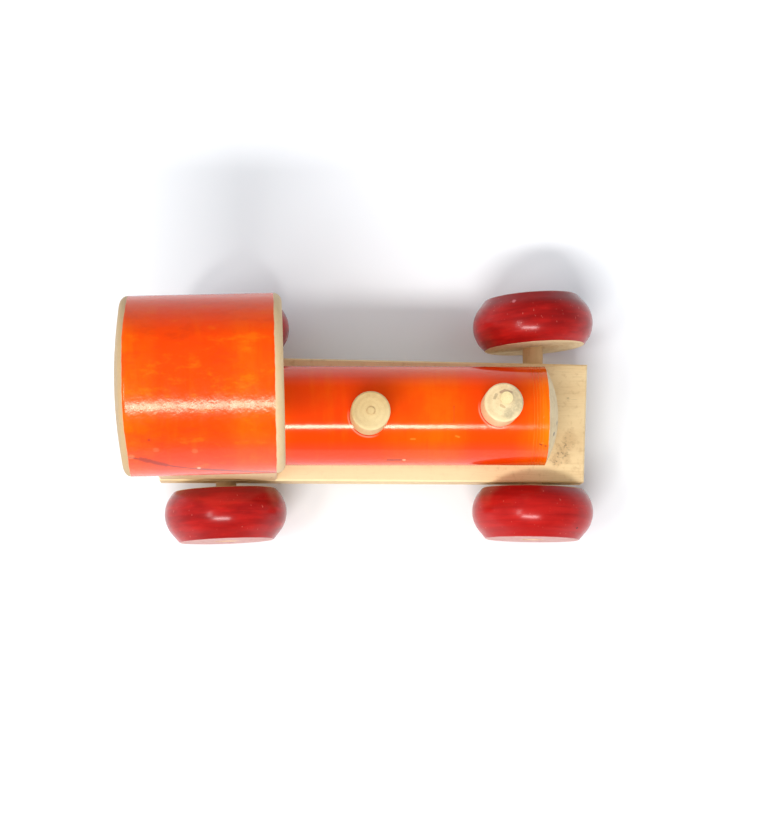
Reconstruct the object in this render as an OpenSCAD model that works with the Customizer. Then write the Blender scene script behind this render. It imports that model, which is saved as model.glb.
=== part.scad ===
// Wooden toy locomotive. A plank runs on two turning wheelsets. It carries a
// lathe-turned, lacquered boiler with two pegs and, behind it, a cab: a wooden
// block with four posts that hold up a half-round lacquered roof.
// Millimetres. +X is the front, +Y the left side, +Z up, and the floor is z = 0.
// The origin is on the floor, under the middle of the whole toy.

/* [Plank] */
// Length of the plank
plank_l = 158.8; // [150:0.2:165]
// Width of the plank at its rear end
plank_w = 46.6; // [42:0.2:50]
// How much narrower the plank is at its front end
plank_taper = 2.2; // [0:0.2:4]
// Thickness of the plank
plank_t = 13.6; // [12:0.2:16]
// How far the plank runs back past the rear axle
plank_tail = 24.6; // [22:0.2:28]
// Angle by which the front end was sawn off square
front_saw_angle = 1.7; // [0:0.1:3]
// Sanded edge of the plank and of the cab block
edge_ease = 0.6; // [0.2:0.1:1.2]

/* [Wheels and axles] */
// Distance between the two axles
wheelbase = 115; // [105:0.5:120]
// Diameter of a wheel at the crown of its tread
wheel_d = 45.4; // [41:0.1:48]
// Radius of the rounded crown of the tread in section
tread_r = 11.4; // [10:0.1:12]
// Angle of the straight flanks that run from the crown to the two faces
flank_angle = 40; // [32:1:41]
// From the crown of the tread to the flat inner face
crown_to_inner = 8.7; // [8:0.1:9.5]
// From the crown of the tread to the flat outer face
crown_to_outer = 10.4; // [9:0.1:12]
// Sanded edge of a wheel's two faces
face_ease = 0.3; // [0.1:0.1:0.6]
// Diameter of an axle dowel
axle_d = 7.6; // [6.5:0.1:8.5]
// How far an axle end lies inside the outer face of its wheel
axle_recess = 0.4; // [0.1:0.1:1]
// Gap between the plank and the inner face of a front wheel
front_side_gap = 3.4; // [3:0.1:4.5]
// Gap between the plank and the inner face of a rear wheel
rear_side_gap = 2.7; // [2.4:0.1:4]
// How far the front wheelset has slid to the left
front_slide = 2.4; // [0:0.1:2.6]
// How far the rear wheelset has slid to the right
rear_slide = 0.2; // [0:0.1:1.6]
// Angle by which the front left wheel was drilled off square
skew_front_left = 4.5; // [-5:0.5:5]
// Angle by which the front right wheel was drilled off square
skew_front_right = -0.5; // [-2:0.5:2]
// Angle by which the rear left wheel was drilled off square
skew_rear_left = 1.5; // [-4:0.5:4]
// Angle by which the rear right wheel was drilled off square
skew_rear_right = 3; // [-4:0.5:4]

/* [Boiler] */
// Diameter of the boiler
boiler_d = 36.3; // [33:0.1:39]
// How far the domed nose stands out of the boiler's cylinder
nose_h = 5; // [3:0.2:7]
// Bare deck between the tip of the nose and the front of the plank
front_deck = 12.7; // [9:0.1:15]
// Depth of the flat planed along the underside of the boiler
boiler_flat = 0.95; // [0.6:0.05:1.4]
// Angle by which the boiler points to the left of the plank's middle line
boiler_yaw = 0.7; // [0:0.1:1]
// Gap between the cab block and the rear end of the boiler
boiler_gap = 0.5; // [0.4:0.1:1]
// Number of rings turned near the front edge of the boiler
ring_count = 4; // [1:1:5]
// Distance between two turned rings
ring_pitch = 1.1; // [0.8:0.1:1.3]
// Radius of the tool mark that makes a ring
ring_r = 0.18; // [0.1:0.02:0.3]

/* [Pegs] */
// Diameter of the steam dome and of the chimney
peg_d = 13.9; // [12:0.1:16]
// Height of a peg above the crown of the boiler
peg_h = 15; // [12:0.2:18]
// Depth of a peg's seat below the crown of the boiler
peg_seat = 4.5; // [4:0.1:6]
// Rounding of the top edge of a peg
peg_edge = 0.8; // [0.4:0.1:1.4]
// From the rear end of the boiler to the middle of the dome
dome_from_rear = 32.2; // [26:0.2:38]
// How far the dome stands to the right of the boiler's middle
dome_side = 1.8; // [0:0.1:2.4]
// Diameter of the stub that the lathe left on the dome
lathe_stub_d = 2.5; // [1.5:0.1:4]
// Height of the stub that the lathe left on the dome
lathe_stub_h = 0.5; // [0.3:0.1:1]
// From the front edge of the boiler's cylinder back to the middle of the chimney
chimney_from_front = 18; // [15:0.2:24]
// How far the chimney stands to the left of the boiler's middle
chimney_side = 1.2; // [0:0.1:2]
// Diameter of the dowel down through the chimney
chimney_pin_d = 4.4; // [3.5:0.1:5]
// How far that dowel lies ahead of the chimney's middle
chimney_pin_ahead = 1; // [0:0.1:2]
// How far that dowel lies to the left of the chimney's middle
chimney_pin_left = 1.6; // [0:0.1:2]
// Depth of that dowel below the chimney's seat
chimney_pin_seat = 8; // [6:0.5:10]
// How far that dowel stands out of the top of the chimney
chimney_pin_proud = 0.3; // [0.1:0.1:0.8]

/* [Cab] */
// Length of the cab block
block_l = 43.4; // [40:0.2:47]
// Height of the cab block
block_h = 35; // [32:0.5:38]
// How far each side of the cab block lies inside the plank's side
block_inset = 0.3; // [0.2:0.1:1]
// Diameter of a cab post
post_d = 7; // [6:0.1:8]
// From an end or a side of the block to the middle of a post
post_inset = 8.5; // [8:0.1:10]
// Length of a post between the block and the roof
post_h = 41.6; // [30:0.2:50]
// Depth of a post's sockets in the block and in the roof
post_seat = 10; // [8:0.5:13]
// Diameter of the turned roof
roof_d = 61.4; // [56:0.1:66]
// Length of the roof
roof_l = 54.6; // [53:0.1:60]
// How far the roof runs back past the plank
roof_back = 9.4; // [8:0.1:13]
// How far the roof sits to the left of the plank's middle line
roof_side = 3; // [0:0.1:3.4]
// Angle by which the roof is turned to the left
roof_yaw = 2.2; // [0:0.1:2.5]
// Rounding of the bare rims at the ends of the roof
rim_r = 3; // [2:0.1:4]
// How far the domed rear end of the roof bulges
roof_dome = 2.4; // [1:0.1:3]

/* [Joining dowels] */
// Diameter of the dowels driven up from under the plank
pin_d = 5; // [4:0.1:5.5]
// Depth of those dowels in the block or in the boiler
pin_seat = 9; // [7:0.5:11]
// From the rear axle to each of the block's two dowels
block_pin_apart = 11; // [8:0.5:12]
// From the rear axle forward to the rear one of the boiler's two dowels
boiler_rear_pin_apart = 44; // [34:1:50]
// From the front axle back to the front one of the boiler's two dowels
boiler_front_pin_apart = 22; // [14:1:34]
// How far the end of such a dowel lies inside the plank's underside
pin_recess = 0.2; // [0.1:0.1:0.6]

/* [Fits] */
// Radial clearance of an axle turning in the plank
running_gap = 0.08; // [0.05:0.01:0.1]
// Radial clearance of a dowel glued in its hole
glue_gap = 0.02; // [0.01:0.01:0.04]
// Air left under the end of a dowel in a blind hole
blind_gap = 0.5; // [0.2:0.1:1]

/* [Hidden] */
$fn = 96;
// How far a cutting solid runs past what it cuts
overcut = 1;

bare_wood = [0.87, 0.72, 0.50];
shaded_wood = [0.80, 0.64, 0.42];
orange_lacquer = [0.95, 0.34, 0.05];
red_lacquer = [0.62, 0.06, 0.06];

// Wheels
wheel_r = wheel_d / 2;
flank_y = tread_r * sin(flank_angle);
flank_x = wheel_r - tread_r * (1 - cos(flank_angle));
inner_face_r = flank_x - (crown_to_inner - flank_y) * tan(flank_angle);
outer_face_r = flank_x - (crown_to_outer - flank_y) * tan(flank_angle);
front_crown_y = plank_w / 2 + front_side_gap + crown_to_inner;
rear_crown_y = plank_w / 2 + rear_side_gap + crown_to_inner;
axle_z = wheel_r;

// How far a skewed wheel reaches out sideways from the crown of its tread
function side_reach(skew) = crown_to_outer * cos(skew) + outer_face_r * abs(sin(skew));

// The whole toy is centred on the origin, seen from above
roof_r = roof_d / 2;
roof_dome_r = (pow(roof_r - rim_r, 2) + pow(roof_dome, 2)) / (2 * roof_dome);
reach_front = wheelbase + wheel_r;
reach_back = plank_tail + roof_back + roof_dome;
reach_left = max(front_crown_y + front_slide + side_reach(skew_front_left),
                 rear_crown_y - rear_slide + side_reach(skew_rear_left));
reach_right = max(front_crown_y - front_slide + side_reach(skew_front_right),
                  rear_crown_y + rear_slide + side_reach(skew_rear_right));
rear_axle_x = (reach_back - reach_front) / 2;
front_axle_x = rear_axle_x + wheelbase;
line_y = (reach_right - reach_left) / 2;

// Plank
plank_rear_x = rear_axle_x - plank_tail;
plank_front_x = plank_rear_x + plank_l;
deck_z = axle_z + plank_t / 2;
plank_z = axle_z - plank_t / 2;

// Cab
block_w = plank_w - 2 * block_inset;
block_front_x = plank_rear_x + block_l;
block_top_z = deck_z + block_h;
roof_z = block_top_z + post_h;
roof_x = plank_rear_x - roof_back + roof_l / 2;
post_dx = block_l / 2 - post_inset;
post_dy = block_w / 2 - post_inset;
posts_x = plank_rear_x + block_l / 2;

// Boiler
boiler_r = boiler_d / 2;
boiler_rear_x = block_front_x + boiler_gap;
boiler_l = plank_front_x - front_deck - nose_h - boiler_rear_x;
boiler_axis_z = deck_z + boiler_r - boiler_flat;
crown_z = boiler_axis_z + boiler_r;
nose_sphere_r = (pow(boiler_r, 2) + pow(nose_h, 2)) / (2 * nose_h);
dome_x = dome_from_rear;
chimney_x = boiler_l - chimney_from_front;

// Solids shared by several pieces

// A box from the corner at the origin, with all its edges sanded off
module eased_box(size, ease) {
    hull() {
        translate([ease, ease, 0]) cube([size.x - 2 * ease, size.y - 2 * ease, size.z]);
        translate([ease, 0, ease]) cube([size.x - 2 * ease, size.y, size.z - 2 * ease]);
        translate([0, ease, ease]) cube([size.x, size.y - 2 * ease, size.z - 2 * ease]);
    }
}

// Outline of the plank, drawn in from its edges by ease: it tapers to the front,
// and the front end is off square about its middle
module plank_outline(ease) {
    rear_y = plank_w / 2 - ease;
    front_y = (plank_w - plank_taper) / 2 - ease;
    saw = front_y * tan(front_saw_angle);
    polygon([
        [plank_rear_x + ease, -rear_y],
        [plank_front_x - ease - saw, -front_y],
        [plank_front_x - ease + saw, front_y],
        [plank_rear_x + ease, rear_y]
    ]);
}

// Half section of a wheel: x is the radius, y runs from the crown towards the outside.
// The rounded crown runs out in straight flanks to two flat faces with sanded edges.
module wheel_section() {
    ease_x = face_ease * tan(flank_angle);
    polygon([
        [0, -crown_to_inner],
        [inner_face_r - face_ease, -crown_to_inner],
        [inner_face_r + ease_x, face_ease - crown_to_inner],
        [flank_x, -flank_y],
        [flank_x, flank_y],
        [outer_face_r + ease_x, crown_to_outer - face_ease],
        [outer_face_r - face_ease, crown_to_outer],
        [0, crown_to_outer]
    ]);
    intersection() {
        translate([wheel_r - tread_r, 0]) circle(r = tread_r);
        translate([flank_x - 1, -flank_y]) square([wheel_r, 2 * flank_y]);
    }
}

// A wheel with its outer face towards side (1 is left, -1 is right). The wheel is
// skewed on the axle, but its hole runs true along the axle.
module wheel(axle_x, crown_y, side, skew) {
    color(red_lacquer)
    translate([axle_x, line_y + crown_y, axle_z])
    difference() {
        rotate([0, 0, skew]) rotate([-90 * side, 0, 0]) rotate_extrude() wheel_section();
        rotate([90, 0, 0]) cylinder(r = axle_d / 2 + glue_gap, h = wheel_d, center = true);
    }
}

// An axle dowel that ends just inside the outer faces of its two wheels
module axle(axle_x, slide, crown_y) {
    color(shaded_wood)
    translate([axle_x, line_y + slide, axle_z]) rotate([90, 0, 0])
        cylinder(d = axle_d, h = 2 * (crown_y + crown_to_outer - axle_recess), center = true);
}

// Places its children in the boiler's own frame: x along its axis from the rear end,
// z up from the axis
module on_boiler() {
    translate([boiler_rear_x, line_y, boiler_axis_z])
        rotate([0, 0, boiler_yaw])
            translate([0, -boiler_l / 2 * sin(boiler_yaw), 0])
                children();
}

// Half section of a peg, from the floor of its seat up, with a rounded top edge
module peg_section() {
    top = peg_seat + peg_h;
    square([peg_d / 2, top - peg_edge]);
    square([peg_d / 2 - peg_edge, top]);
    translate([peg_d / 2 - peg_edge, top - peg_edge]) circle(r = peg_edge);
}

// Places its children on the middle of the post pattern, turned with the roof
module on_posts() {
    translate([posts_x, line_y + roof_side, 0]) rotate([0, 0, roof_yaw]) children();
}

// The dowel that fills a post's sockets, grown by gap all round
module post_dowel(end, side, gap) {
    translate([end * post_dx, side * post_dy, block_top_z - post_seat])
        cylinder(r = post_d / 2 + gap, h = post_h + 2 * post_seat);
}

module post(end, side) {
    color(bare_wood) on_posts() post_dowel(end, side, 0);
}

// A dowel up through the plank into what stands on it
module deck_pin(x, y, gap, top_gap) {
    bottom = gap > 0 ? plank_z - overcut : plank_z + pin_recess;
    translate([x, y, bottom]) cylinder(r = pin_d / 2 + gap, h = deck_z + pin_seat + top_gap - bottom);
}

module block_pins(which, gap, top_gap) {
    for (end = which) deck_pin(rear_axle_x + end * block_pin_apart, line_y, gap, top_gap);
}

module boiler_pins(which, gap, top_gap) {
    for (end = which)
        deck_pin(end < 0 ? rear_axle_x + boiler_rear_pin_apart : front_axle_x - boiler_front_pin_apart,
                 line_y, gap, top_gap);
}

// Pieces

module chassis_plank() {
    color(bare_wood)
    difference() {
        translate([0, line_y, 0]) hull() {
            translate([0, 0, plank_z]) linear_extrude(plank_t) plank_outline(edge_ease);
            translate([0, 0, plank_z + edge_ease])
                linear_extrude(plank_t - 2 * edge_ease) plank_outline(0);
        }
        for (x = [rear_axle_x, front_axle_x])
            translate([x, line_y, axle_z]) rotate([90, 0, 0])
                cylinder(r = axle_d / 2 + running_gap, h = plank_w + 2 * overcut, center = true);
        block_pins([-1, 1], glue_gap, 0);
        boiler_pins([-1, 1], glue_gap, 0);
    }
}

module front_axle() { axle(front_axle_x, front_slide, front_crown_y); }
module rear_axle() { axle(rear_axle_x, -rear_slide, rear_crown_y); }
module front_left_wheel() { wheel(front_axle_x, front_slide + front_crown_y, 1, skew_front_left); }
module front_right_wheel() { wheel(front_axle_x, front_slide - front_crown_y, -1, skew_front_right); }
module rear_left_wheel() { wheel(rear_axle_x, rear_crown_y - rear_slide, 1, skew_rear_left); }
module rear_right_wheel() { wheel(rear_axle_x, -rear_crown_y - rear_slide, -1, skew_rear_right); }

// A turned cylinder with a domed nose, planed flat underneath to sit on the plank
module boiler() {
    color(orange_lacquer)
    difference() {
        on_boiler() difference() {
            rotate([0, 90, 0]) rotate_extrude() difference() {
                union() {
                    square([boiler_r, boiler_l]);
                    intersection() {
                        translate([0, boiler_l + nose_h - nose_sphere_r]) circle(r = nose_sphere_r);
                        translate([0, boiler_l / 2]) square([boiler_r, boiler_l]);
                    }
                }
                for (i = [1 : ring_count])
                    translate([boiler_r, boiler_l - ring_pitch * (i + 1)]) circle(r = ring_r, $fn = 24);
            }
            translate([-overcut, -boiler_r, -2 * boiler_r + boiler_flat])
                cube([boiler_l + nose_h + 2 * overcut, boiler_d, boiler_r]);
            for (p = [[dome_x, -dome_side], [chimney_x, chimney_side]])
                translate([p.x, p.y, boiler_r - peg_seat])
                    cylinder(r = peg_d / 2 + glue_gap, h = peg_seat + overcut);
            chimney_hole(chimney_pin_seat + blind_gap, glue_gap);
        }
        boiler_pins([-1, 1], glue_gap, blind_gap);
    }
}

// The dowel through the chimney, in the boiler's frame: it runs down by depth from
// the floor of the chimney's seat, and is grown by gap all round
module chimney_hole(depth, gap) {
    low = boiler_r - peg_seat - depth;
    high = boiler_r + peg_h + chimney_pin_proud;
    translate([chimney_x + chimney_pin_ahead, chimney_side + chimney_pin_left, low])
        cylinder(r = chimney_pin_d / 2 + gap, h = high - low);
}

module steam_dome() {
    color(bare_wood) on_boiler()
    translate([dome_x, -dome_side, boiler_r - peg_seat]) {
        rotate_extrude() peg_section();
        cylinder(d = lathe_stub_d, h = peg_seat + peg_h + lathe_stub_h);
    }
}

module chimney() {
    color(bare_wood) on_boiler()
    difference() {
        translate([chimney_x, chimney_side, boiler_r - peg_seat]) rotate_extrude() peg_section();
        chimney_hole(overcut, glue_gap);
    }
}

module chimney_pin() {
    color(shaded_wood) on_boiler() chimney_hole(chimney_pin_seat, 0);
}

module cab_block() {
    color(bare_wood)
    difference() {
        translate([plank_rear_x, line_y - block_w / 2, deck_z])
            eased_box([block_l, block_w, block_h], edge_ease);
        on_posts() for (end = [-1, 1], side = [-1, 1]) post_dowel(end, side, glue_gap);
        block_pins([-1, 1], glue_gap, blind_gap);
    }
}

module cab_post_front_left() { post(1, 1); }
module cab_post_front_right() { post(1, -1); }
module cab_post_rear_left() { post(-1, 1); }
module cab_post_rear_right() { post(-1, -1); }

// Half of a turned barrel with rounded, bare rims: the front end is flat and the
// rear end is domed
module cab_roof() {
    color(orange_lacquer)
    difference() {
        translate([roof_x, line_y + roof_side, roof_z]) rotate([0, 0, roof_yaw])
            difference() {
                translate([-roof_l / 2, 0, 0]) rotate([0, 90, 0]) rotate_extrude() roof_section();
                translate([-roof_l, -roof_r - overcut, -roof_r - overcut])
                    cube([2 * roof_l, roof_d + 2 * overcut, roof_r + overcut]);
            }
        on_posts() for (end = [-1, 1], side = [-1, 1]) post_dowel(end, side, glue_gap);
    }
}

// Half section of the roof's barrel: x is the radius, y runs from the rear rim to the front
module roof_section() {
    flat_r = roof_r - rim_r;
    translate([0, rim_r]) square([roof_r, roof_l - 2 * rim_r]);
    square([flat_r, roof_l]);
    for (y = [rim_r, roof_l - rim_r]) translate([flat_r, y]) circle(r = rim_r);
    intersection() {
        translate([0, roof_dome_r - roof_dome]) circle(r = roof_dome_r);
        translate([0, -roof_dome]) square([flat_r, 2 * roof_dome]);
    }
}

module block_pin_front() { color(shaded_wood) block_pins([1], 0, 0); }
module block_pin_rear() { color(shaded_wood) block_pins([-1], 0, 0); }
module boiler_pin_front() { color(shaded_wood) boiler_pins([1], 0, 0); }
module boiler_pin_rear() { color(shaded_wood) boiler_pins([-1], 0, 0); }

chassis_plank();
front_axle();
rear_axle();
front_left_wheel();
front_right_wheel();
rear_left_wheel();
rear_right_wheel();
boiler();
steam_dome();
chimney();
chimney_pin();
cab_block();
cab_post_front_left();
cab_post_front_right();
cab_post_rear_left();
cab_post_rear_right();
cab_roof();
block_pin_front();
block_pin_rear();
boiler_pin_front();
boiler_pin_rear();
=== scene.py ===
"""Looks of the wooden toy locomotive: lacquer, bare wood, marks, floor, light and camera.

Metres, in the frame of the CAD model: +X is the front, +Y the left side, +Z up, the floor is z = 0.
"""

import math

import bpy
from mathutils import Matrix, Vector
from mathutils.bvhtree import BVHTree


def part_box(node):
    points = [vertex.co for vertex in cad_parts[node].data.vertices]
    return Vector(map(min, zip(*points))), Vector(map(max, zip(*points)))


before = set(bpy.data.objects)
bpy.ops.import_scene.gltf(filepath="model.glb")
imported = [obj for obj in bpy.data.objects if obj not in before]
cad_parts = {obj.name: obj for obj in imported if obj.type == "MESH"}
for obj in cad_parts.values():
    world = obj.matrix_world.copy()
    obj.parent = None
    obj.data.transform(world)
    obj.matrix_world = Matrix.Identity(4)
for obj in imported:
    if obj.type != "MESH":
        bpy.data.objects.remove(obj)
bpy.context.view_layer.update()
MM = 0.001

# The camera that took the photograph, placed from the rear axle and the plank's middle line
IMAGE_WIDTH = 772
IMAGE_HEIGHT = 832
FOCAL_PIXELS = 2323.6
CAMERA_AHEAD = 18.06 * MM
CAMERA_RIGHT = 94.48 * MM
CAMERA_HEIGHT = 890.82 * MM
CAMERA_PITCH = 0.1106
CAMERA_ROLL = 0.0490
CAMERA_YAW = 0.0136
SENSOR_WIDTH = 36
CAMERA_NEAR = 0.05


def middle(node):
    """Middle of a CAD node's box."""
    low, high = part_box(node)
    return (Vector(low) + Vector(high)) / 2


line_y = middle("chassis_plank").y
rear_axle = middle("rear_axle")
front_axle = middle("front_axle")

camera_data = bpy.data.cameras.new("camera")
camera_data.sensor_fit = "HORIZONTAL"
camera_data.sensor_width = SENSOR_WIDTH
camera_data.lens = FOCAL_PIXELS / IMAGE_WIDTH * SENSOR_WIDTH
camera_data.clip_start = CAMERA_NEAR
camera = bpy.data.objects.new("camera", camera_data)
bpy.context.scene.collection.objects.link(camera)
camera_place = Vector((rear_axle.x + CAMERA_AHEAD, line_y - CAMERA_RIGHT, CAMERA_HEIGHT))
camera_turn = (
    Matrix.Rotation(CAMERA_YAW, 3, "Z")
    @ Matrix.Rotation(CAMERA_PITCH, 3, "X")
    @ Matrix.Rotation(-CAMERA_ROLL, 3, "Y")
)
camera.matrix_world = Matrix.Translation(camera_place) @ camera_turn.to_4x4()
bpy.context.scene.camera = camera


def spot_on(node, pixel):
    """Where the photograph's pixel falls on a CAD node."""
    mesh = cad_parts[node].data
    tree = BVHTree.FromPolygons([v.co for v in mesh.vertices], [p.vertices for p in mesh.polygons])
    x = (pixel[0] - IMAGE_WIDTH / 2) / FOCAL_PIXELS
    y = (IMAGE_HEIGHT / 2 - pixel[1]) / FOCAL_PIXELS
    ray = camera_turn @ Vector((x, y, -1)).normalized()
    hit = tree.ray_cast(camera_place, ray)[0]
    if hit is None:
        # The ray just misses the node: its nearest point instead
        hit = tree.find_nearest(camera_place + ray * (camera_place.z - middle(node).z) / -ray.z)[0]
    return hit


# Cosine from which a face counts as looking along a direction
FACING = 0.98


def flat_normal(node, toward):
    """Average normal of the faces of a CAD node that look along a direction."""
    toward = Vector(toward)
    total = Vector()
    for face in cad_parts[node].data.polygons:
        if face.normal.dot(toward) > FACING:
            total += face.normal * face.area
    return total.normalized()


def reach(node, origin, direction):
    """How far a CAD node reaches behind and ahead of an origin along a direction."""
    runs = [(v.co - origin).dot(direction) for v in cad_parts[node].data.vertices]
    return min(runs), max(runs)


# Marks of use, at their pixels in the photograph
ROOF_CRACK = ((128, 457), (150, 461), (171, 466), (199, 469))
ROOF_CRACK_TAIL = ((199, 469), (241, 471), (275, 472))
ROOF_CRACK_GAPE = ((141, 459), (153, 462), (166, 465))
ROOF_CRACK_SPOT = (199, 468)
ROOF_DARK_SPOT = (149, 440)
ROOF_PALE_SPOTS = ((156, 450), (195, 451))
ROOF_CORNER_RUB = (131, 457)
BOILER_SCRATCH = ((388, 460), (401, 460))
BOILER_CHIP = (404, 460)
BOILER_NICKS = (((540, 444), (542, 445)), ((545, 446), (546, 446)))
BOILER_RUBS = (((411, 439), (415, 439)), ((456, 436), (459, 437)), ((542, 443), (543, 443)))
BOILER_HAIRLINE = ((454, 406), (454, 422))
NOSE_SPOTS = ((554, 434), (557, 423))
CHIMNEY_GREY = (((515, 393), 2.6), ((518, 404), 2.6), ((510, 413), 1.9))
CHIMNEY_DENT = ((494.7, 398), (496.4, 394.5))
CHIMNEY_STREAKS = ((501, 392.2), (504.5, 390.5), (507.3, 391), (511.3, 392.2))
CHIMNEY_RUB = ((500.5, 404.9), (504.5, 407.2))
CHIMNEY_CORE = (507, 398)
DECK_SMUDGES = (((570, 436), (568, 445)), ((567, 447), (556, 461)), ((560, 452), (566, 458)))
DECK_SPECK = (568, 398)
WHEEL_DOT = (577, 528)
WHEEL_SPECK = (514, 301)
BLOCK_CHIP = ((271, 478), (278, 473))
BLOCK_CHIP_SPOT = (277, 475)

# Material graphs

LACQUER_IOR = 1.37

# Places of the colour sockets on a Mix node, which share their names with its other sockets
MIX_FIRST = 6
MIX_SECOND = 7
MIX_RESULT = 2

WHITE = (1, 1, 1, 1)
WARM_GLOSS = (1, 0.86, 0.66, 1)

# How far a noise moves along each axis from one seed to the next
SEED_STEPS = (3.7, 1.3, 2.1)

# Light on the level surfaces, where 1 shows a white one as white
LEVEL_LIGHT = 1.15


def rgb(red, green, blue):
    """The surface colour of a level piece that shows as this screen colour, white being 255.

    The numbers may go up to 271, where the surface colour reaches 1.
    """
    def linear(value):
        value /= 255
        return (value / 12.92 if value <= 0.04045 else ((value + 0.055) / 1.055) ** 2.4) / LEVEL_LIGHT

    return (linear(red), linear(green), linear(blue), 1)


class Graph:
    """Short calls that build the node tree of a material or a world."""

    def __init__(self, owner):
        self.owner = owner
        self.owner.use_nodes = True
        self.tree = owner.node_tree
        self.tree.nodes.clear()
        coordinates = self.new("ShaderNodeTexCoord").outputs
        self.direction = coordinates["Generated"]
        self.point = coordinates["Object"]
        self.normal = coordinates["Normal"]

    def new(self, kind, settings=None, **inputs):
        """A node, with its inputs given by name as a value or a socket."""
        node = self.tree.nodes.new(kind)
        for key, value in (settings or {}).items():
            setattr(node, key, value)
        for key, value in inputs.items():
            self.put(node.inputs[key.replace("_", " ")], value)
        return node

    def put(self, socket, value):
        """Sets a socket's value, or links it where the value is a socket itself."""
        if isinstance(value, bpy.types.NodeSocket):
            self.tree.links.new(value, socket)
        elif value is not None:
            socket.default_value = value

    def split(self, vector):
        """The X, Y and Z of a vector."""
        parts = self.new("ShaderNodeSeparateXYZ", Vector=vector)
        return [parts.outputs[axis] for axis in "XYZ"]

    def math(self, operation, a, b=None, c=None):
        """The result of a Math node."""
        node = self.new("ShaderNodeMath", {"operation": operation})
        for socket, value in zip(node.inputs, (a, b, c)):
            self.put(socket, value)
        return node.outputs[0]

    def vector(self, operation, a, b=None):
        """The result of a Vector Math node."""
        node = self.new("ShaderNodeVectorMath", {"operation": operation})
        self.put(node.inputs[0], a)
        self.put(node.inputs[1], b)
        return node.outputs["Value" if operation in ("LENGTH", "DOT_PRODUCT") else "Vector"]

    def radius(self, where, axis):
        """Distance from an axis through the origin."""
        flat = [1.0, 1.0, 1.0]
        flat["XYZ".index(axis)] = 0.0
        return self.vector("LENGTH", self.vector("MULTIPLY", where, flat))

    def local(self, origin, turn=0.0):
        """Coordinates from an origin, in axes turned about Z."""
        node = self.new("ShaderNodeMapping", {"vector_type": "TEXTURE"}, Vector=self.point)
        node.inputs["Location"].default_value = origin
        node.inputs["Rotation"].default_value = (0, 0, turn)
        return node.outputs["Vector"]

    def noise(self, where, scale, stretch=(1, 1, 1), detail=3, rough=0.5, seed=0):
        """Noise from 0 to 1. Scale counts its lumps in a metre, and stretch weighs the three axes."""
        mapped = self.new("ShaderNodeMapping", Vector=where)
        mapped.inputs["Location"].default_value = [seed * step for step in SEED_STEPS]
        mapped.inputs["Scale"].default_value = [scale * s for s in stretch]
        node = self.new("ShaderNodeTexNoise", Vector=mapped.outputs["Vector"])
        node.inputs["Scale"].default_value = 1
        node.inputs["Detail"].default_value = detail
        node.inputs["Roughness"].default_value = rough
        return node.outputs["Fac"]

    def step(self, value, low, high, smooth=True):
        """0 below low and 1 above high, or the other way round where high is below low."""
        node = self.new("ShaderNodeMapRange", {"interpolation_type": "SMOOTHSTEP" if smooth else "LINEAR"})
        node.clamp = True
        turned = high < low
        ends = (high, low, 1, 0) if turned else (low, high, 0, 1)
        for key, number in zip(("From Min", "From Max", "To Min", "To Max"), ends):
            node.inputs[key].default_value = number
        self.put(node.inputs["Value"], value)
        return node.outputs["Result"]

    def band(self, value, low, full_from, full_to, high):
        """1 between the two middle numbers, 0 outside the outer two."""
        return self.math("MULTIPLY", self.step(value, low, full_from), self.step(value, high, full_to))

    def mix(self, amount, a, b, blend="MIX"):
        """Colour a where the amount is 0, and b blended with it where it is 1."""
        node = self.new("ShaderNodeMix", {"data_type": "RGBA", "blend_type": blend, "clamp_factor": True})
        self.put(node.inputs["Factor"], amount)
        self.put(node.inputs[MIX_FIRST], a)
        self.put(node.inputs[MIX_SECOND], b)
        return node.outputs[MIX_RESULT]

    def tint(self, colour, mask, strength, tint):
        """A tint laid over a colour where a mask is 1."""
        return self.mix(self.math("MULTIPLY", mask, strength), colour, tint)

    def layers(self, colour, *layers):
        """Tints laid over a colour: each a height, the two numbers between which it sets in, a strength
        and the tint itself."""
        for height, low, high, strength, tint in layers:
            colour = self.tint(colour, self.step(height, low, high), strength, tint)
        return colour

    def union(self, masks):
        """The greatest of several masks."""
        total = masks[0]
        for mask in masks[1:]:
            total = self.math("MAXIMUM", total, mask)
        return total

    def ramp(self, value, stops):
        """A colour ramp from (place, colour) pairs."""
        node = self.new("ShaderNodeValToRGB", Fac=value)
        node.color_ramp.interpolation = "EASE"
        for place, colour in stops[2:]:
            node.color_ramp.elements.new(place)
        for element, (place, colour) in zip(node.color_ramp.elements, stops):
            element.position = place
            element.color = colour
        return node.outputs["Color"]

    def edge(self, distance, radius, soft, ragged, scale, seed=0):
        """1 where a distance is below a radius, with an edge that is soft and ragged by shares of it."""
        distance = self.math("DIVIDE", distance, radius)
        if ragged:
            wobble = self.noise(self.point, scale, seed=seed)
            distance = self.math("MULTIPLY_ADD", self.math("SUBTRACT", wobble, 0.5), ragged, distance)
        return self.step(distance, 1 + soft / 2, 1 - soft / 2)

    def blotch(self, centre, radius, soft, ragged=0.0, scale=None, seed=0):
        """1 inside a round spot, 0 outside."""
        distance = self.vector("LENGTH", self.vector("SUBTRACT", self.point, tuple(centre)))
        return self.edge(distance, radius, soft, ragged, scale, seed)

    def stroke(self, start, end, half_width, soft, ragged, scale):
        """1 along a straight scratch between two points, 0 away from it."""
        along = end - start
        length = along.length
        along.normalize()
        away = self.vector("SUBTRACT", self.point, tuple(start))
        run = self.vector("DOT_PRODUCT", away, tuple(along))
        run = self.math("MINIMUM", self.math("MAXIMUM", run, 0.0), length)
        back = self.new("ShaderNodeVectorMath", {"operation": "SCALE"}, Scale=run)
        back.inputs[0].default_value = tuple(along)
        distance = self.vector("LENGTH", self.vector("SUBTRACT", away, back.outputs["Vector"]))
        return self.edge(distance, half_width, soft, ragged, scale)

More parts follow.
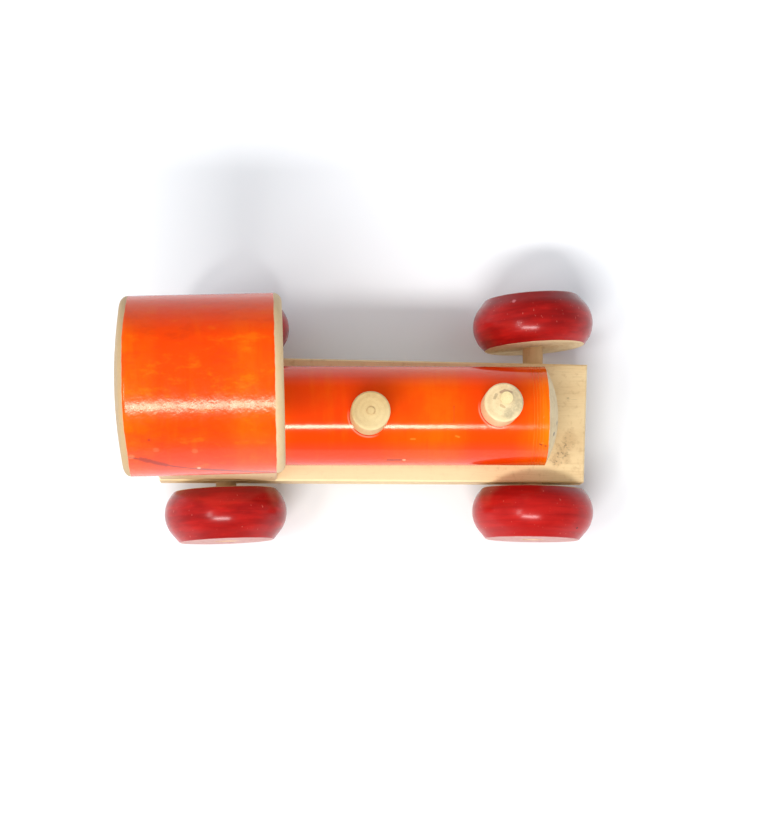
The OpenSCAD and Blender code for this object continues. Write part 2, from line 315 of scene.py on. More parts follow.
    def bump(self, height, strength, distance, normal=None):
        """A normal that follows a height, on top of another normal."""
        node = self.new("ShaderNodeBump", Height=height, Strength=strength, Distance=distance)
        self.put(node.inputs["Normal"], normal)
        return node.outputs["Normal"]

    def finish(self, colour, roughness, normal, specular, tint=WHITE, coat=0.0, coat_roughness=0.1):
        """The material's shader. Tint colours its own gloss, and coat is the weight of a clear coat."""
        shader = self.new("ShaderNodeBsdfPrincipled", Base_Color=colour, Roughness=roughness, Normal=normal,
                          Coat_Normal=normal, Coat_Weight=coat, Coat_Roughness=coat_roughness,
                          Coat_IOR=LACQUER_IOR, Specular_IOR_Level=specular, Specular_Tint=tint)
        self.new("ShaderNodeOutputMaterial", Surface=shader.outputs["BSDF"])
        return self.owner


def material_graph(name):
    """The graph of a new material."""
    return Graph(bpy.data.materials.new(name))


# Bare wood

PALE = rgb(250, 220, 168)
TAN = rgb(233, 196, 142)
BROWN = rgb(190, 146, 96)
SMUDGE = rgb(112, 88, 60)
STAIN = rgb(128, 84, 76)
GREY_STAIN = rgb(168, 154, 124)
BLUE_GREY = rgb(78, 82, 98)
# The next colour is painted light: the paler tint laid where the lamp falls strongest
LIT_PALE = rgb(271, 256, 202)
BLOCK_PALE = rgb(246, 210, 166)
FRESH_CHIP = rgb(255, 240, 205)
DOWEL_PALE = rgb(228, 190, 138)
DOWEL_TAN = rgb(196, 154, 104)
SAWN_ROUGH = 0.55
DOWEL_ROUGH = 0.6
PEG_ROUGH = 0.5
WOOD_GLOSS = 0.25
PEG_GLOSS = 0.3
SAWN_GRAIN = 0.12 * MM
DOWEL_GRAIN = 0.1 * MM
PEG_GRAIN = 0.08 * MM
SAW_MARKS = 0.1 * MM
LATHE_MARKS = 0.02 * MM

# How fast grain changes along its run, as a share of how fast it changes across it
GRAIN_STRETCH = 0.05

# Growth rings and tool rings of a cut end, in radians a metre
GROWTH_RINGS = 3300
LATHE_RINGS = 9000

# Painted light: a pale band on the plank beside the boiler, where the lamp and its reflection off the
# boiler fall. Its inner edge's distance from the middle line, the width of that soft edge, and how far
# behind the front axle it sets in and is full
LIT_BAND_SIDE = 16 * MM
LIT_BAND_SOFT = 2 * MM
LIT_BAND_START = 8 * MM
LIT_BAND_FULL = 32 * MM


def wood_colour(g, where, along, seed, pale=PALE, tan=TAN):
    """Pale wood with fine grain that runs along one axis, and the height of its grain."""
    long_way = [1.0, 1.0, 1.0]
    long_way["XYZ".index(along)] = GRAIN_STRETCH
    broad = g.noise(where, 110, long_way, detail=4, rough=0.6, seed=seed)
    fine = g.noise(where, 1500, long_way, detail=3, rough=0.6, seed=seed + 1)
    pores = g.noise(where, 3600, long_way, detail=1, seed=seed + 2)
    cloud = g.noise(where, 70, detail=3, rough=0.6, seed=seed + 3)
    mottle = g.noise(where, 420, detail=3, rough=0.65, seed=seed + 4)
    colour = g.layers(pale,
                      (broad, 0.38, 0.7, 0.5, tan),
                      (cloud, 0.5, 0.72, 0.35, tan),
                      (mottle, 0.5, 0.75, 0.3, BROWN),
                      (fine, 0.5, 0.78, 0.25, BROWN),
                      (pores, 0.66, 0.78, 0.22, SMUDGE))
    return colour, fine


def end_grain(g, where, around, seed, pale=PALE, tan=TAN, strength=0.35):
    """The cut end of a turned piece: growth rings round an axis with small pores, and the height of its
    tool rings."""
    radius = g.radius(where, around)
    wobble = g.noise(where, 110, detail=2, seed=seed)
    lathe = g.math("SINE", g.math("MULTIPLY_ADD", radius, LATHE_RINGS, g.math("MULTIPLY", wobble, 3)))
    growth = g.math("SINE", g.math("MULTIPLY_ADD", radius, GROWTH_RINGS, g.math("MULTIPLY", wobble, 7)))
    pores = g.noise(where, 2600, detail=2, seed=seed + 1)
    cloud = g.noise(where, 240, detail=3, rough=0.6, seed=seed + 2)
    colour = g.layers(pale,
                      (growth, -0.6, 1.6, strength, tan),
                      (cloud, 0.42, 0.66, 0.7, tan),
                      (pores, 0.54, 0.74, 0.35, BROWN))
    return colour, lathe


def dress(nodes, material):
    """Puts one material on CAD nodes."""
    for name in nodes:
        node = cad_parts[name]
        node.data.materials.clear()
        node.data.materials.append(material)


def mark_spots(g, node, colour, pixels, radius, tint, strength):
    """Spots of a tint on a node, at pixels of the photograph."""
    for number, pixel in enumerate(pixels):
        spot = g.blotch(spot_on(node, pixel), radius, soft=0.8, ragged=0.8, scale=1500, seed=number)
        colour = g.tint(colour, spot, strength, tint)
    return colour


def line_mask(g, node, pixels, half_width, ragged=0.8, scale=900, soft=0.6):
    """1 along a line that joins pixels of the photograph on a node, 0 away from it."""
    points = [spot_on(node, pixel) for pixel in pixels]
    return g.union([g.stroke(start, end, half_width, soft, ragged, scale)
                    for start, end in zip(points, points[1:])])


def mark_line(g, node, colour, pixels, half_width, tint, strength, ragged=0.8):
    """A line of a tint on a node, through pixels of the photograph."""
    return g.tint(colour, line_mask(g, node, pixels, half_width, ragged), strength, tint)


def plank_material():
    """Sawn pale wood, a little dirty on the front deck, with painted light beside the boiler."""
    g = material_graph("plank_wood")
    node = "chassis_plank"
    colour, fine = wood_colour(g, g.point, "X", seed=1)
    ends = end_grain(g, g.point, "X", seed=2)[0]
    facing_x, _, facing_z = g.split(g.normal)
    colour = g.layers(colour, (g.math("ABSOLUTE", facing_x), 0.7, 0.9, 0.8, ends))
    x, y, _ = g.split(g.point)
    # Painted light: paler where the lamp and the boiler's reflection fall on the plank beside the boiler
    lit_band = g.step(y, line_y - LIT_BAND_SIDE, line_y - LIT_BAND_SIDE - LIT_BAND_SOFT)
    lit_band = g.math("MULTIPLY", lit_band, g.step(x, front_axle.x - LIT_BAND_START, front_axle.x - LIT_BAND_FULL))
    lit_band = g.math("MULTIPLY", lit_band, g.step(facing_z, 0.2, 0.6))
    colour = g.tint(colour, lit_band, 0.55, LIT_PALE)
    grime = g.step(g.noise(g.point, 800, detail=5, rough=0.7, seed=7), 0.5, 0.66)
    patches = g.union([line_mask(g, node, ends_at, 1.9 * MM, ragged=2.2, scale=420, soft=1.3)
                       for ends_at in DECK_SMUDGES])
    colour = g.tint(colour, patches, 0.3, BROWN)
    colour = g.tint(colour, g.math("MULTIPLY", patches, grime), 0.55, SMUDGE)
    colour = mark_spots(g, node, colour, [DECK_SPECK], 0.4 * MM, SMUDGE, 0.25)
    saw = g.noise(g.point, 900, (1, 0.04, 0.04), detail=2, seed=6)
    normal = g.bump(fine, 0.5, SAWN_GRAIN, g.bump(saw, 0.3, SAW_MARKS))
    return g.finish(colour, SAWN_ROUGH, normal, WOOD_GLOSS)


def block_material():
    """Sawn pale wood, chipped at the foot of its near side."""
    g = material_graph("block_wood")
    node = "cab_block"
    colour, fine = wood_colour(g, g.point, "X", seed=5, pale=BLOCK_PALE)
    colour = mark_line(g, node, colour, BLOCK_CHIP, 0.35 * MM, SMUDGE, 0.9)
    colour = mark_spots(g, node, colour, [BLOCK_CHIP_SPOT], 0.7 * MM, FRESH_CHIP, 0.9)
    return g.finish(colour, SAWN_ROUGH, g.bump(fine, 0.5, SAWN_GRAIN), WOOD_GLOSS)


def dowel_material(name, along, seed):
    """Round rod with its grain along one axis."""
    g = material_graph(name)
    colour, fine = wood_colour(g, g.point, along, seed=seed, pale=DOWEL_PALE, tan=DOWEL_TAN)
    return g.finish(colour, DOWEL_ROUGH, g.bump(fine, 0.5, DOWEL_GRAIN), WOOD_GLOSS)


def peg_material(name, node, seed, pale, tan, marks=None):
    """A turned peg: end grain on its flat top, with painted light on its right, and plain grain down its
    side.
    """
    g = material_graph(name)
    where = g.local(middle(node))
    side, fine = wood_colour(g, where, "Z", seed=seed, pale=pale)
    top, rings = end_grain(g, where, "Z", seed=seed, pale=pale, tan=tan)
    radius = g.radius(where, "Z")
    turned = g.band(radius, 4.6 * MM, 5.2 * MM, 5.6 * MM, 6.2 * MM)
    top = g.tint(top, turned, 0.12, BROWN)
    ahead, left, up = g.split(where)
    # Painted light: the top is tinted paler towards its right and front, where the lamp falls on it
    right = g.math("MULTIPLY_ADD", left, -0.8, g.math("MULTIPLY", ahead, 0.3))
    top = g.layers(top, (right, -4 * MM, 7 * MM, 0.35, LIT_PALE))
    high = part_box(node)[1][2] - middle(node).z
    colour = g.mix(g.step(up, high - 1.4 * MM, high - 0.9 * MM), side, top)
    if marks:
        colour = marks(g, node, colour, radius)
    normal = g.bump(rings, 0.35, LATHE_MARKS, g.bump(fine, 0.4, PEG_GRAIN))
    return g.finish(colour, PEG_ROUGH, normal, PEG_GLOSS)


def dome_nub_shadow(g, node, colour, radius):
    """Painted shadow: a dark, patchy ring round the stub that the lathe left."""
    ring = g.band(radius, 1.15 * MM, 1.3 * MM, 1.45 * MM, 1.9 * MM)
    patchy = g.step(g.noise(g.point, 420, detail=2, seed=21), 0.35, 0.6)
    return g.tint(colour, g.math("MULTIPLY", ring, patchy), 0.6, BROWN)


def chimney_marks(g, node, colour, radius):
    """A grey stain over half of the top, a brown ring round the dowel, and small dents and streaks."""
    stain = g.union([g.blotch(spot_on(node, pixel), size * MM, soft=1.2, ragged=1.6, scale=420, seed=number)
                     for number, (pixel, size) in enumerate(CHIMNEY_GREY)])
    worn = g.step(g.noise(g.point, 1100, detail=3, rough=0.7, seed=33), 0.3, 0.6)
    worn = g.math("MULTIPLY_ADD", worn, 0.5, 0.5)
    colour = g.tint(colour, g.math("MULTIPLY", worn, stain), 0.6, GREY_STAIN)
    dowel = spot_on(node, CHIMNEY_CORE)
    ring = g.math("SUBTRACT", g.blotch(dowel, 2.9 * MM, soft=0.5, ragged=0.8, scale=500, seed=34),
                  g.blotch(dowel, 2.1 * MM, soft=0.2))
    patchy = g.step(g.noise(g.point, 380, detail=2, seed=35), 0.36, 0.6)
    colour = g.tint(colour, g.math("MULTIPLY", ring, patchy), 0.45, BROWN)
    colour = mark_line(g, node, colour, CHIMNEY_DENT, 0.5 * MM, SMUDGE, 0.4, ragged=1.4)
    colour = mark_line(g, node, colour, CHIMNEY_RUB, 0.4 * MM, BROWN, 0.5, ragged=1.4)
    return mark_line(g, node, colour, CHIMNEY_STREAKS, 0.5 * MM, STAIN, 0.55, ragged=1.8)


# Lacquer, laid on in the lathe, so its streaks run round each piece

RED_ORANGE = rgb(264, 74, 2)
ORANGE = rgb(266, 90, 2)
WARM_ORANGE = rgb(267, 102, 2)
YELLOW_ORANGE = rgb(268, 130, 8)
CRACK = rgb(160, 44, 36)
CHIP = rgb(255, 214, 180)
WORN = rgb(255, 176, 120)
RING_YELLOW = rgb(268, 150, 50)
MENISCUS_REFLECTION = rgb(255, 176, 150)
SMOKE_AND_SHADE = rgb(212, 60, 14)
WHEEL_RED = rgb(206, 32, 26)
WHEEL_DEEP = rgb(168, 20, 18)
WHEEL_DARK = rgb(118, 12, 14)
WHEEL_FLECK = rgb(226, 120, 104)
FACE_PINK = rgb(216, 160, 164)
FACE_ROSE = rgb(206, 118, 122)
DOT_COLOUR = rgb(30, 8, 8)
SPECK_COLOUR = rgb(214, 120, 124)

# Painted shade: these two multiply the colour under them, darkening the lacquer's sides and the roof's back
# rim
PAINTED_SIDE_SHADE = rgb(247, 233, 204)
BACK_RIM_SHADE = rgb(240, 234, 230)

LACQUER_GLOSS = 0.42
WHEEL_GLOSS = 0.05
WHEEL_COAT = 0.65
WHEEL_COAT_ROUGH = 0.2
STREAKS_DEPTH = 0.012 * MM
BOILER_SKIN = 0.03 * MM
ROOF_SKIN = 0.06 * MM
ROOF_BLISTERS = 0.05 * MM
WHEEL_SKIN = 0.04 * MM
WHEEL_STREAKS = 0.01 * MM


def streaks(g, where, axis, scale, seed, smear=0.07):
    """Noise that changes along an axis and little round it."""
    stretch = [smear, smear, smear]
    stretch["XYZ".index(axis)] = 1.0
    return g.noise(where, scale, stretch, rough=0.65, seed=seed)


def lacquer(g, where, colour, seed):
    """Streaks and clouds over an orange lacquer's colour, and the heights of its streaks and its skin."""
    broad = streaks(g, where, "X", 130, seed, smear=0.25)
    fine = streaks(g, where, "X", 800, seed + 1, smear=0.12)
    cloud = g.noise(where, 75, detail=4, rough=0.6, seed=seed + 2)
    colour = g.layers(colour,
                      (broad, 0.48, 0.75, 0.5, RED_ORANGE),
                      (broad, 0.5, 0.26, 0.45, WARM_ORANGE),
                      (cloud, 0.48, 0.7, 0.5, RED_ORANGE),
                      (fine, 0.5, 0.74, 0.35, RED_ORANGE))
    skin = g.noise(where, 330, detail=2, seed=seed + 3)
    return colour, fine, skin


def worn_roughness(g, skin, bare, smooth, spread, wood):
    """Roughness of a lacquer that varies with its skin, and what bare wood adds to it."""
    lacquered = g.math("MULTIPLY_ADD", g.step(skin, 0.3, 0.8), spread, smooth)
    return g.math("MULTIPLY_ADD", bare, wood, lacquered)


# Bands of colour along the boiler and the roof, from the back (0) to the front (1)
BOILER_BANDS = ((0.0, ORANGE), (0.07, RED_ORANGE), (0.3, RED_ORANGE), (0.45, ORANGE), (0.6, WARM_ORANGE),
                (0.74, RED_ORANGE), (0.86, RED_ORANGE), (0.94, WARM_ORANGE), (1.0, YELLOW_ORANGE))
ROOF_BANDS = ((0.0, YELLOW_ORANGE), (0.08, WARM_ORANGE), (0.2, ORANGE), (0.3, RED_ORANGE),
              (0.6, RED_ORANGE), (0.76, ORANGE), (0.9, ORANGE), (1.0, RED_ORANGE))

# Where a dark line and a painted reflection of the peg show round a peg's foot: its rear right side
FOOT_SIDE = (-0.6, -0.8, 0)

# Where bare wood shows and rings are turned: the nose, the rings behind it, the roof's rims and how much
# narrower the back one is on top, the edge of the lacquer there, and round a wheel's hole
NOSE_HEIGHT = 5 * MM
RING_PITCH = 1.1 * MM
RING_NUMBERS = (2, 3, 4, 5)
ROOF_BARE_FRONT = 2.8 * MM
ROOF_BARE_BACK = 4.9 * MM
ROOF_CROWN_LESS = 1.0 * MM
LACQUER_EDGE = 0.12 * MM
WHEEL_HUB = 6.5 * MM


def peg_foot(g, peg, inner, outer):
    """1 on an arc of a ring round a peg. Inner and outer are millimetres from the peg's wall."""
    low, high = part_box(peg)
    wall = (high[0] - low[0]) / 2
    away = g.vector("SUBTRACT", g.point, (middle(peg).x, middle(peg).y, 0))
    away = g.vector("MULTIPLY", away, (1, 1, 0))
    ring = g.band(g.vector("LENGTH", away), wall + (inner - 0.1) * MM, wall + (inner + 0.1) * MM,
                  wall + (outer - 0.2) * MM, wall + (outer + 0.2) * MM)
    side = g.vector("DOT_PRODUCT", g.vector("NORMALIZE", away), FOOT_SIDE)
    return g.math("MULTIPLY", ring, g.step(side, 0.3, 0.85))


def boiler_material():
    """Orange lacquer with turned rings near the front, small chips, and a bare domed nose."""
    node = "boiler"
    ahead = -flat_normal(node, (-1, 0, 0))
    origin = middle(node)
    back, front = reach(node, origin, ahead)
    g = material_graph("boiler_lacquer")
    where = g.local(origin, math.atan2(ahead.y, ahead.x))
    run, left, _ = g.split(where)
    edge = front - NOSE_HEIGHT
    colour = g.ramp(g.step(run, back, edge, smooth=False), BOILER_BANDS)
    colour, fine, skin = lacquer(g, where, colour, 40)
    behind = g.math("SUBTRACT", edge, run)
    for number in RING_NUMBERS:
        from_ring = g.math("ABSOLUTE", g.math("SUBTRACT", behind, number * RING_PITCH))
        colour = g.layers(colour, (from_ring, 0.24 * MM, 0.08 * MM, 0.4, RING_YELLOW))
    colour = mark_line(g, node, colour, BOILER_SCRATCH, 0.5 * MM, CRACK, 0.7, ragged=1.5)
    colour = mark_spots(g, node, colour, [BOILER_CHIP], 0.6 * MM, CHIP, 0.95)
    for nick in BOILER_NICKS:
        colour = mark_line(g, node, colour, nick, 0.3 * MM, CRACK, 0.7)
    for rub in BOILER_RUBS:
        colour = mark_line(g, node, colour, rub, 0.35 * MM, RING_YELLOW, 0.55)
    colour = mark_line(g, node, colour, BOILER_HAIRLINE, 0.25 * MM, CRACK, 0.4)
    # Painted shade: the boiler's lacquer is darker towards both sides
    shaded_sides = g.step(g.math("ABSOLUTE", left), 9.5 * MM, 14 * MM)
    colour = g.mix(shaded_sides, colour, PAINTED_SIDE_SHADE, blend="MULTIPLY")
    # At each peg's foot a dark line, and outside it a pale arc: painted reflection of the peg in the
    # lacquer
    for peg in ("steam_dome", "chimney"):
        colour = g.tint(colour, peg_foot(g, peg, -0.3, 0.35), 0.5, CRACK)
        colour = g.tint(colour, peg_foot(g, peg, 0.35, 0.85), 0.5, MENISCUS_REFLECTION)
    wood = end_grain(g, where, "X", seed=44, pale=rgb(236, 214, 170), tan=rgb(216, 188, 142))[0]
    wood = mark_spots(g, node, wood, NOSE_SPOTS, 0.75 * MM, BLUE_GREY, 0.85)
    wander = g.math("MULTIPLY_ADD", g.noise(where, 260, detail=2, seed=48), 0.5 * MM, edge - 0.25 * MM)
    bare = g.step(g.math("SUBTRACT", run, wander), -0.05 * MM, 0.08 * MM)
    colour = g.mix(bare, colour, wood)
    rough = worn_roughness(g, skin, bare, smooth=0.12, spread=0.03, wood=0.45)
    normal = g.bump(skin, 0.6, BOILER_SKIN, g.bump(fine, 0.5, STREAKS_DEPTH))
    return g.finish(colour, rough, normal, LACQUER_GLOSS, WARM_GLOSS)


def roof_material():
    """Cracked orange lacquer on the round of the roof, with bare rims, ends and underside."""
    node = "cab_roof"
    ahead = flat_normal(node, (1, 0, 0))
    origin = middle(node)
    back, front = reach(node, origin, ahead)
    g = material_graph("roof_lacquer")
    where = g.local(origin, math.atan2(ahead.y, ahead.x))
    run, left, _ = g.split(where)
    colour = g.ramp(g.step(run, back, front, smooth=False), ROOF_BANDS)
    colour, fine, skin = lacquer(g, where, colour, 60)
    patches = g.noise(where, 150, (0.5, 1, 1), detail=5, rough=0.65, seed=72)
    # Dark and pale patches of the lacquer, and painted shade that darkens the roof's far side
    colour = g.layers(colour,
                      (patches, 0.5, 0.72, 0.45, SMOKE_AND_SHADE),
                      (patches, 0.48, 0.3, 0.5, YELLOW_ORANGE),
                      (left, 8 * MM, 24 * MM, 0.6, SMOKE_AND_SHADE))
    # Painted shade: the roof's lacquer is darker towards its near side
    colour = g.mix(g.step(left, -19 * MM, -25 * MM), colour, PAINTED_SIDE_SHADE, blend="MULTIPLY")
    crack = g.union([line_mask(g, node, ROOF_CRACK, 0.4 * MM, ragged=1.6, scale=700, soft=1.2),
                     line_mask(g, node, ROOF_CRACK_GAPE, 0.95 * MM, ragged=1.2, scale=700, soft=1.4),
                     line_mask(g, node, ROOF_CRACK_TAIL, 0.8 * MM, ragged=1.2, scale=700, soft=1.0)])
    colour = g.tint(colour, crack, 0.75, CRACK)
    colour = mark_spots(g, node, colour, [ROOF_CRACK_SPOT], 0.6 * MM, CHIP, 0.8)
    colour = mark_spots(g, node, colour, [ROOF_DARK_SPOT], 0.55 * MM, CRACK, 0.5)
    colour = mark_spots(g, node, colour, ROOF_PALE_SPOTS, 1.0 * MM, WORN, 0.14)
    colour = mark_spots(g, node, colour, [ROOF_CORNER_RUB], 1.1 * MM, WORN, 0.25)
    wood = end_grain(g, where, "X", seed=64, pale=rgb(226, 196, 150), strength=0.15)[0]
    wood = g.mix(0.45, wood, wood_colour(g, where, "Y", seed=67, pale=rgb(226, 200, 156))[0])
    under = wood_colour(g, where, "X", seed=66)[0]
    wander = g.math("MULTIPLY", g.noise(where, 240, detail=2, seed=68), 0.5 * MM)
    front_edge = front - ROOF_BARE_FRONT
    bare_front = g.step(g.math("ADD", run, wander), front_edge, front_edge + LACQUER_EDGE)
    back_edge = back + ROOF_BARE_BACK
    height = g.math("SUBTRACT", g.split(g.point)[2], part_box(node)[0][2])
    crown = g.math("MULTIPLY", g.step(height, 16 * MM, 30 * MM), ROOF_CROWN_LESS)
    from_back = g.math("ADD", g.math("SUBTRACT", run, wander), crown)
    bare_back = g.step(from_back, back_edge, back_edge - LACQUER_EDGE)
    # Painted shade: the back rim is darker
    wood = g.mix(bare_back, wood, BACK_RIM_SHADE, blend="MULTIPLY")
    bare = g.math("MAXIMUM", bare_front, bare_back)
    bare_under = g.step(height, 0.25 * MM, 0.1 * MM)
    colour = g.mix(bare, colour, wood)
    colour = g.mix(bare_under, colour, under)
    bare = g.math("MAXIMUM", bare, bare_under)
    rough = worn_roughness(g, skin, bare, smooth=0.18, spread=0.06, wood=0.4)
    blister = g.noise(where, 900, (1, 0.8, 0.8), detail=2, seed=70)
    normal = g.bump(blister, 1.0, ROOF_BLISTERS, g.bump(fine, 0.5, STREAKS_DEPTH))
    normal = g.bump(skin, 1.0, ROOF_SKIN, normal)
    return g.finish(colour, rough, normal, LACQUER_GLOSS, WARM_GLOSS)


def wheel_material(node, seed, shade):
    """Red lacquer round the wheel, a bare outer face stained pink, and a clean bare inner one.

    Shade is how strongly dark streaks and painted shade take the lacquer down, from 0 to 1.
    """
    out = 1 if middle(node).y > line_y else -1
    axis = flat_normal(node, (0, out, 0))
    origin = middle(node)
    inner, outer = reach(node, origin, axis)
    g = material_graph(node + "_lacquer")
    where = g.local(origin, math.atan2(-out * axis.x, out * axis.y))
    run = g.math("MULTIPLY", g.split(where)[1], float(out))
    broad = streaks(g, where, "Y", 260, seed)
    thin = streaks(g, where, "Y", 1100, seed + 1)
    cloud = g.noise(where, 110, detail=3, seed=seed + 2)
    # Painted shade: the lacquer is darker where it faces left, away from the lamps
    faces_away = g.split(g.normal)[1]
    colour = g.layers(WHEEL_RED,
                      (broad, 0.42, 0.72, 0.7, WHEEL_DEEP),
                      (cloud, 0.5, 0.74, 0.5, WHEEL_DEEP),
                      (thin, 0.52, 0.78, 0.28, WHEEL_DARK),
                      (faces_away, 0.1, 0.85, 0.75, WHEEL_DARK))
    # Dark streaks, taken deeper by each wheel's shade, which is partly painted shade
    dim = g.noise(where, 200, (0.35, 1.7, 0.35), detail=3, rough=0.6, seed=seed + 8)
    dim = g.math("MULTIPLY_ADD", g.step(dim, 0.68, 0.32), 0.5 * shade, 0.3 * shade)
    colour = g.mix(dim, colour, WHEEL_DARK)
    flecks = g.noise(where, 1300, (1, 0.4, 1), detail=1, seed=seed + 3)
    colour = g.layers(colour, (flecks, 0.72, 0.8, 0.5, WHEEL_FLECK))
    if node == "front_right_wheel":
        colour = mark_spots(g, node, colour, [WHEEL_DOT], 0.45 * MM, DOT_COLOUR, 0.95)
    if node == "front_left_wheel":
        colour = mark_spots(g, node, colour, [WHEEL_SPECK], 0.7 * MM, SPECK_COLOUR, 0.8)
    clean = end_grain(g, where, "Y", seed=seed + 4, pale=rgb(250, 228, 188), tan=rgb(230, 200, 154))[0]
    radius = g.radius(where, "Y")
    worn = g.noise(where, 420, detail=4, rough=0.6, seed=seed + 5)
    pink = g.step(radius, 1.5 * MM, 6 * MM)
    wood = g.tint(clean, pink, 0.78, FACE_PINK)
    wood = g.tint(wood, g.math("MULTIPLY", pink, g.step(worn, 0.5, 0.66)), 0.4, FACE_ROSE)
    wood = g.layers(wood, (worn, 0.66, 0.76, 0.4, SMUDGE))
    centre = (outer + inner) / 2
    wood = g.mix(g.step(run, centre + 2 * MM, centre - 2 * MM), wood, clean)
    away = g.math("MAXIMUM", g.math("SUBTRACT", run, outer), g.math("SUBTRACT", inner, run))
    wander = g.math("MULTIPLY", g.noise(where, 300, detail=2, seed=seed + 6), 0.12 * MM)
    bare = g.step(g.math("SUBTRACT", away, wander), -0.22 * MM, -0.12 * MM)
    bare = g.math("MAXIMUM", bare, g.step(radius, WHEEL_HUB, WHEEL_HUB - 0.5 * MM))
    colour = g.mix(bare, colour, wood)
    skin = g.noise(where, 420, detail=2, seed=seed + 7)
    rough = worn_roughness(g, skin, bare, smooth=0.28, spread=0.12, wood=0.3)
    normal = g.bump(skin, 0.7, WHEEL_SKIN, g.bump(thin, 0.6, WHEEL_STREAKS))
    coat = g.math("MULTIPLY_ADD", bare, -WHEEL_COAT, WHEEL_COAT)
    return g.finish(colour, rough, normal, WHEEL_GLOSS, coat=coat, coat_roughness=WHEEL_COAT_ROUGH)


# Each wheel and how strongly dark streaks and painted shade take its lacquer down, and the seeds of their
# materials
WHEEL_SHADES = {"front_left_wheel": 0.8, "front_right_wheel": 0.25,
                "rear_left_wheel": 0.8, "rear_right_wheel": 0.75}
WHEEL_SEED = 80
WHEEL_SEED_STEP = 12

dress(["chassis_plank"], plank_material())
dress(["cab_block"], block_material())
dress(["cab_post_front_left", "cab_post_front_right", "cab_post_rear_left", "cab_post_rear_right"],
      dowel_material("post_wood", "Z", 11))
dress(["front_axle", "rear_axle"], dowel_material("axle_wood", "Y", 15))
dress(["steam_dome"],
      peg_material("dome_wood", "steam_dome", 19, pale=rgb(232, 200, 140), tan=rgb(214, 178, 118),
                   marks=dome_nub_shadow))
dress(["chimney"],
      peg_material("chimney_wood", "chimney", 23, pale=rgb(244, 216, 166), tan=rgb(226, 196, 146),
                   marks=chimney_marks))
dress(["chimney_pin"],
      peg_material("chimney_pin_wood", "chimney_pin", 27, pale=rgb(244, 222, 164),
                   tan=rgb(230, 206, 150)))
dress(["block_pin_front", "block_pin_rear", "boiler_pin_front", "boiler_pin_rear"],
      dowel_material("pin_wood", "Z", 31))
dress(["boiler"], boiler_material())
dress(["cab_roof"], roof_material())
for number, (wheel, shade) in enumerate(WHEEL_SHADES.items()):
    dress([wheel], wheel_material(wheel, WHEEL_SEED + WHEEL_SEED_STEP * number, shade))

# Floor: a plain white sheet

FLOOR_HALF = 8.0
FLOOR_COLOUR = (0.9, 0.9, 0.905, 1)
floor_mesh = bpy.data.meshes.new("floor")
floor_mesh.from_pydata([(-FLOOR_HALF, -FLOOR_HALF, 0), (FLOOR_HALF, -FLOOR_HALF, 0),
                        (FLOOR_HALF, FLOOR_HALF, 0), (-FLOOR_HALF, FLOOR_HALF, 0)], [], [(0, 1, 2, 3)])
floor = bpy.data.objects.new("floor", floor_mesh)
bpy.context.scene.collection.objects.link(floor)
floor_graph = material_graph("floor_white")
floor_shader = floor_graph.new("ShaderNodeBsdfDiffuse", Color=FLOOR_COLOUR)
floor_graph.new("ShaderNodeOutputMaterial", Surface=floor_shader.outputs["BSDF"])
floor_mesh.materials.append(floor_graph.owner)

# Light: a room that is bright behind and ahead of the toy, one long soft lamp high up on its
# right side, and a narrow one high up behind it

# Brightest light of the room behind and ahead, where it lies along X and up, and its colour
ROOM_BEHIND = 1.62
ROOM_AHEAD = 1.08
ROOM_SLANT = (0.9, 0.44)
ROOM_COLOUR = (0.95, 1.0, 1.06, 1)

# Wall and ceiling as the camera and reflections show them. The wall turns into the ceiling between the
# horizon and a direction that points up by this share of its length.
WALL = 0.7
CEILING = 0.12
CEILING_FROM = 0.5

# How far the lamps are from the toy
LAMP_AWAY = 1.75


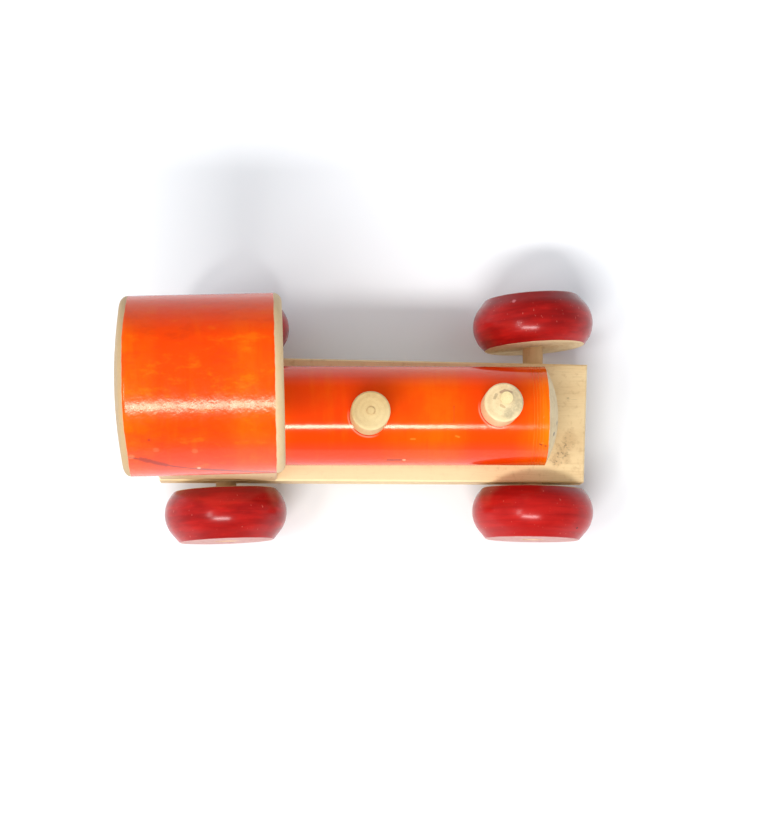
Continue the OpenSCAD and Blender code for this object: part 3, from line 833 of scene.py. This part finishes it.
def light_world():
    """The room's light, and its white wall under a dim ceiling, as the camera and reflections show it."""
    g = Graph(bpy.data.worlds.new("world"))
    light = 0.0
    for level, slant in ((ROOM_BEHIND, -ROOM_SLANT[0]), (ROOM_AHEAD, ROOM_SLANT[0])):
        facing = g.vector("DOT_PRODUCT", g.direction, (slant, 0, ROOM_SLANT[1]))
        facing = g.math("POWER", g.math("MAXIMUM", facing, 0.0), 2.0)
        light = g.math("MULTIPLY_ADD", facing, level, light)
    room = g.new("ShaderNodeBackground", Color=ROOM_COLOUR, Strength=light)
    above = g.step(g.split(g.direction)[2], 0.0, CEILING_FROM)
    shown = g.math("MULTIPLY_ADD", above, CEILING - WALL, WALL)
    backdrop = g.new("ShaderNodeBackground", Color=WHITE, Strength=shown)
    rays = g.new("ShaderNodeLightPath").outputs
    seen = g.math("ADD", rays["Is Camera Ray"], rays["Is Glossy Ray"])
    seen = g.math("MINIMUM", g.math("ADD", seen, rays["Is Transmission Ray"]), 1.0)
    mixed = g.new("ShaderNodeMixShader", Fac=seen)
    g.put(mixed.inputs[1], room.outputs["Background"])
    g.put(mixed.inputs[2], backdrop.outputs["Background"])
    g.new("ShaderNodeOutputWorld", Surface=mixed.outputs["Shader"])
    bpy.context.scene.world = g.owner


def lamp(name, tilt_right, tilt_ahead, length, depth, share):
    """A soft lamp aimed at the toy, its length along X. Share is what it adds to a white floor's light."""
    right = math.radians(tilt_right)
    ahead = math.radians(tilt_ahead)
    back = Vector((math.tan(ahead), -math.tan(right), 1)).normalized()
    long_way = (Vector((1, 0, 0)) - back * back.x).normalized()
    data = bpy.data.lights.new(name, "AREA")
    data.shape = "RECTANGLE"
    data.size = length
    data.size_y = depth
    data.energy = share * math.pi ** 2 * LAMP_AWAY ** 2 / back.z
    lit = bpy.data.objects.new(name, data)
    turn = Matrix((long_way, back.cross(long_way), back)).transposed()
    lit.matrix_world = Matrix.Translation(Vector((0, line_y, 0)) + back * LAMP_AWAY) @ turn.to_4x4()
    bpy.context.scene.collection.objects.link(lit)


light_world()
lamp("key_lamp", tilt_right=31, tilt_ahead=-8.6, length=0.86, depth=0.22, share=0.58)
lamp("side_lamp", tilt_right=16, tilt_ahead=-30, length=0.22, depth=0.55, share=0.13)

bpy.context.scene.view_settings.view_transform = "Standard"
